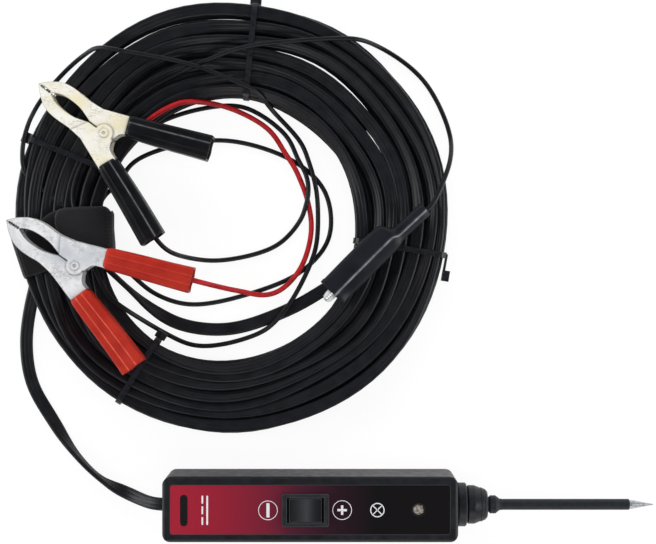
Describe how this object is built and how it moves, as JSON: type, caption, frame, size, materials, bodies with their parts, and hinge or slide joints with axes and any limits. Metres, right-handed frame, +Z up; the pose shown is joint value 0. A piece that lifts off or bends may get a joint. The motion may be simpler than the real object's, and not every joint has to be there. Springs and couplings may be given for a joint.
{
  "type": "automotive circuit tester",
  "caption": "Hand-held circuit tester for vehicles with a rocker switch, a lamp and a probe tip, on a coiled flat cable with battery clamps and a booted clip.",
  "frame": {"origin": "under the middle of the handle and probe, on the table they lie on", "axes": "+X along the handle towards the probe's point, +Y across the table towards the coiled cable, +Z up"},
  "size_m": [0.2859, 0.2394, 0.0314],
  "materials": {
    "housing": "satin moulded black plastic",
    "label": "printed film, deep red fading to black",
    "rocker": "glossy black plastic",
    "fasteners": "zinc-plated steel",
    "board": "green laminate",
    "contacts": "plain brass",
    "lamp": "clear cast epoxy",
    "breaker": "glossy coating",
    "seal": "matt black rubber",
    "rod": "ground bright steel",
    "sleeve": "shrunk black tubing",
    "cable": "soft black PVC with a satin sheen",
    "red_lead": "soft red PVC",
    "tie": "black nylon",
    "strap": "black woven hook-and-loop tape",
    "zinc": "bright zinc, lightly scratched",
    "rivet": "zinc-plated steel",
    "yellow_zinc": "zinc with a faint yellow passivation",
    "red_grip": "glossy translucent red PVC",
    "black_grip": "glossy black PVC"
  },
  "bodies": {
    "tester": {"lower_shell": "housing", "upper_shell": "housing", "label_film": "label", "housing_screws": "fasteners", "circuit_board": "board", "switch_frame": "housing", "switch_contacts": "contacts", "lamp": "lamp", "lamp_spacer": "seal", "breaker": "breaker", "probe_socket": "contacts", "socket_screw": "fasteners", "gland_body": "housing", "gland_nut": "housing", "gland_bush": "seal", "probe_rod": "rod", "probe_sleeve": "sleeve", "cable_grommet": "seal", "cable_clamp": "housing", "clamp_screws": "fasteners", "cable_free": "cable", "cable_coil": "cable", "cable_inner": "cable", "split_sleeve": "sleeve", "lead_red": "red_lead", "lead_black": "cable", "lead_aux": "cable", "tie_top": "tie", "tie_left": "tie", "tie_lower": "tie", "tie_right": "tie", "coil_strap": "strap", "red_jaw_fixed": "zinc", "red_rivet": "rivet", "red_spring": "fasteners", "red_grip_fixed": "red_grip", "black_jaw_fixed": "yellow_zinc", "black_rivet": "rivet", "black_spring": "fasteners", "black_grip_fixed": "black_grip", "clip_jaw_fixed": "zinc", "clip_pin": "rivet", "clip_spring": "fasteners", "clip_boot": "black_grip"},
    "rocker": {"rocker": "rocker"},
    "red_jaw": {"red_jaw_moving": "zinc", "red_grip_moving": "red_grip"},
    "black_jaw": {"black_jaw_moving": "yellow_zinc", "black_grip_moving": "black_grip"},
    "clip_jaw": {"clip_jaw_moving": "zinc"}
  },
  "joints": [
    {"name": "rocker_tilt", "type": "hinge", "parent": "tester", "child": "rocker", "pos_m": [-0.0457, 0, 0.028], "axis": [0, 1, 0], "range_deg": [-10, 10], "stiffness_Nm_per_rad": 0.002},
    {"name": "red_clamp", "type": "hinge", "parent": "tester", "child": "red_jaw", "pos_m": [-0.1453, 0.1053, 0.0171], "axis": [0, 0, 1], "range_deg": [0, 25], "stiffness_Nm_per_rad": 0.3, "springref_deg": -45.84, "deforming": ["red_spring"]},
    {"name": "black_clamp", "type": "hinge", "parent": "tester", "child": "black_jaw", "pos_m": [-0.133, 0.1628, 0.015], "axis": [0, 0, -1], "range_deg": [0, 25], "stiffness_Nm_per_rad": 0.3, "springref_deg": -45.84, "deforming": ["black_spring"]},
    {"name": "clip_hinge", "type": "hinge", "parent": "tester", "child": "clip_jaw", "pos_m": [-0.023, 0.1048, 0.0141], "axis": [0, 0, 1], "range_deg": [0, 20], "stiffness_Nm_per_rad": 0.02, "springref_deg": -45.84, "deforming": ["clip_spring", "clip_boot"]}
  ]
}
